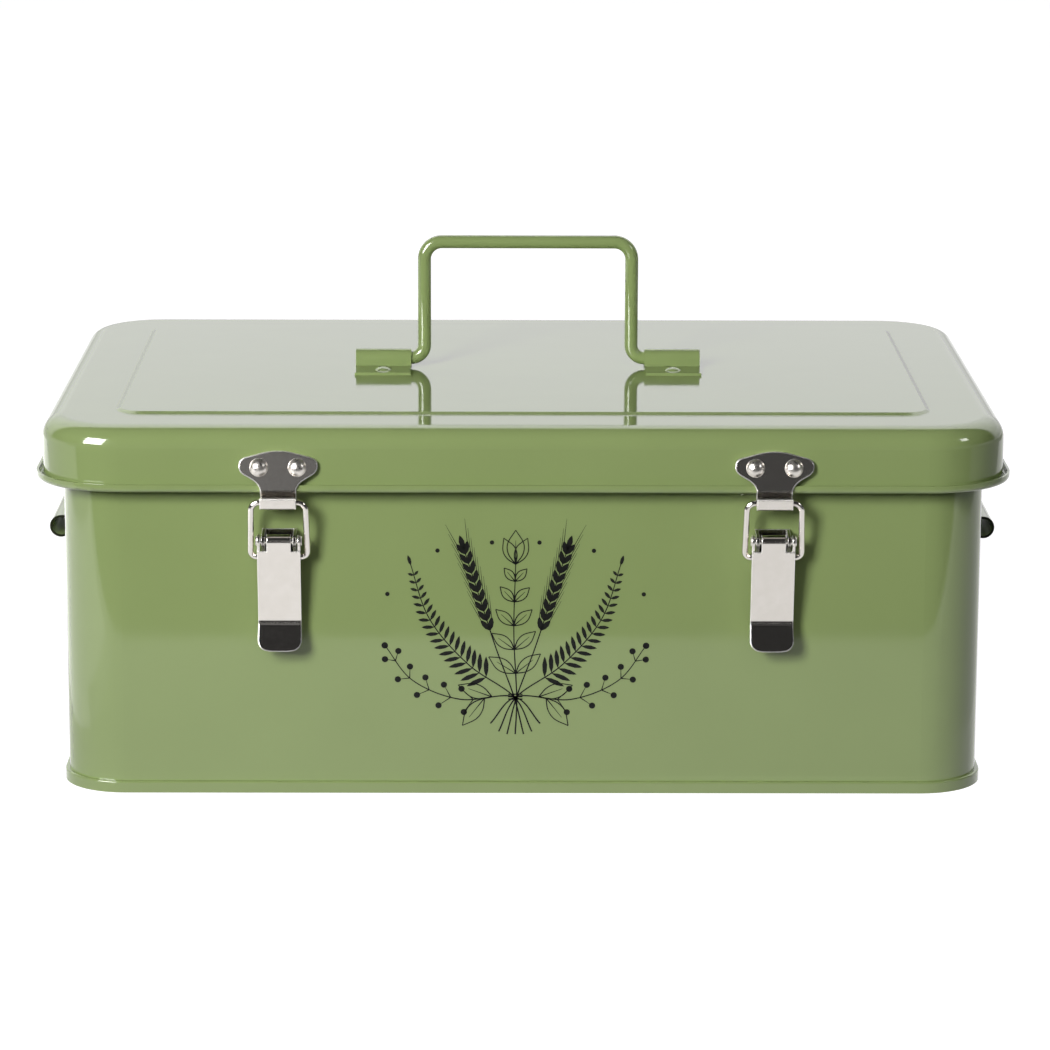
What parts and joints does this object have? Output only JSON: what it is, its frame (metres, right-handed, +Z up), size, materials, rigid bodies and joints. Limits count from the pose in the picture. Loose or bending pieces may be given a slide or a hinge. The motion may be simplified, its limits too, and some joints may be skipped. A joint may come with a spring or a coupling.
{
  "type": "garden seed organizer box",
  "caption": "Lidded sheet-steel box for seed packets, with a divided inside, a folding wire handle on the lid, rolled end grips and front draw latches",
  "frame": {"origin": "middle of the box's underside, on the surface it stands on", "axes": "+Z up, front with the latches toward -Y, +X to the right seen from the front"},
  "size_m": [0.353, 0.2503, 0.187],
  "materials": {
    "green_enamel": "glossy sage-green enamel on sheet steel",
    "latch_steel": "bright nickel-plated steel",
    "divider_sheet": "the same green enamel, on the inner dividers"
  },
  "bodies": {
    "box": {"body_wall": "green_enamel", "base_pan": "green_enamel", "long_divider": "divider_sheet", "cross_divider_1": "divider_sheet", "cross_divider_2": "divider_sheet", "cross_divider_3": "divider_sheet", "side_handle_left": "green_enamel", "side_handle_right": "green_enamel", "side_handle_rivets": "green_enamel", "hinge_body_leaf_left": "green_enamel", "hinge_body_leaf_right": "green_enamel", "hinge_body_rivets": "green_enamel", "hinge_pin_left": "latch_steel", "hinge_pin_right": "latch_steel", "latch_base_left": "latch_steel", "latch_base_right": "latch_steel", "latch_base_rivets": "latch_steel", "latch_pin_left": "latch_steel", "latch_pin_right": "latch_steel"},
    "lid": {"lid": "green_enamel", "hinge_lid_leaf_left": "green_enamel", "hinge_lid_leaf_right": "green_enamel", "hinge_lid_rivets": "green_enamel", "keeper_left": "latch_steel", "keeper_right": "latch_steel", "keeper_rivets": "latch_steel", "handle_bracket_left": "green_enamel", "handle_bracket_right": "green_enamel", "bracket_rivets": "green_enamel"},
    "handle": {"top_handle": "green_enamel"},
    "lever_left": {"latch_lever_left": "latch_steel"},
    "link_left": {"latch_link_left": "latch_steel"},
    "lever_right": {"latch_lever_right": "latch_steel"},
    "link_right": {"latch_link_right": "latch_steel"}
  },
  "joints": [
    {"name": "lid_hinge", "type": "hinge", "parent": "box", "child": "lid", "pos_m": [0, 0.12261, 0.111], "axis": [-1, 0, 0], "range_deg": [0, 100]},
    {"name": "handle_swing", "type": "hinge", "parent": "lid", "child": "handle", "pos_m": [0.0021, 0, 0.14], "axis": [1, 0, 0], "range_deg": [-90, 90]},
    {"name": "lever_left_swing", "type": "hinge", "parent": "box", "child": "lever_left", "pos_m": [-0.0871, -0.1186, 0.0951], "axis": [-1, 0, 0], "range_deg": [0, 105]},
    {"name": "link_left_swing", "type": "hinge", "parent": "lever_left", "child": "link_left", "pos_m": [-0.0871, -0.1169, 0.089], "axis": [-1, 0, 0], "range_deg": [-87, 0]},
    {"name": "lever_right_swing", "type": "hinge", "parent": "box", "child": "lever_right", "pos_m": [0.0889, -0.1186, 0.0951], "axis": [-1, 0, 0], "range_deg": [0, 105]},
    {"name": "link_right_swing", "type": "hinge", "parent": "lever_right", "child": "link_right", "pos_m": [0.0889, -0.1169, 0.089], "axis": [-1, 0, 0], "range_deg": [-87, 0]}
  ],
  "couplings": [
    {"joint": "link_left_swing", "follows": "lever_left_swing", "ratio": -0.82},
    {"joint": "link_right_swing", "follows": "lever_right_swing", "ratio": -0.82}
  ]
}
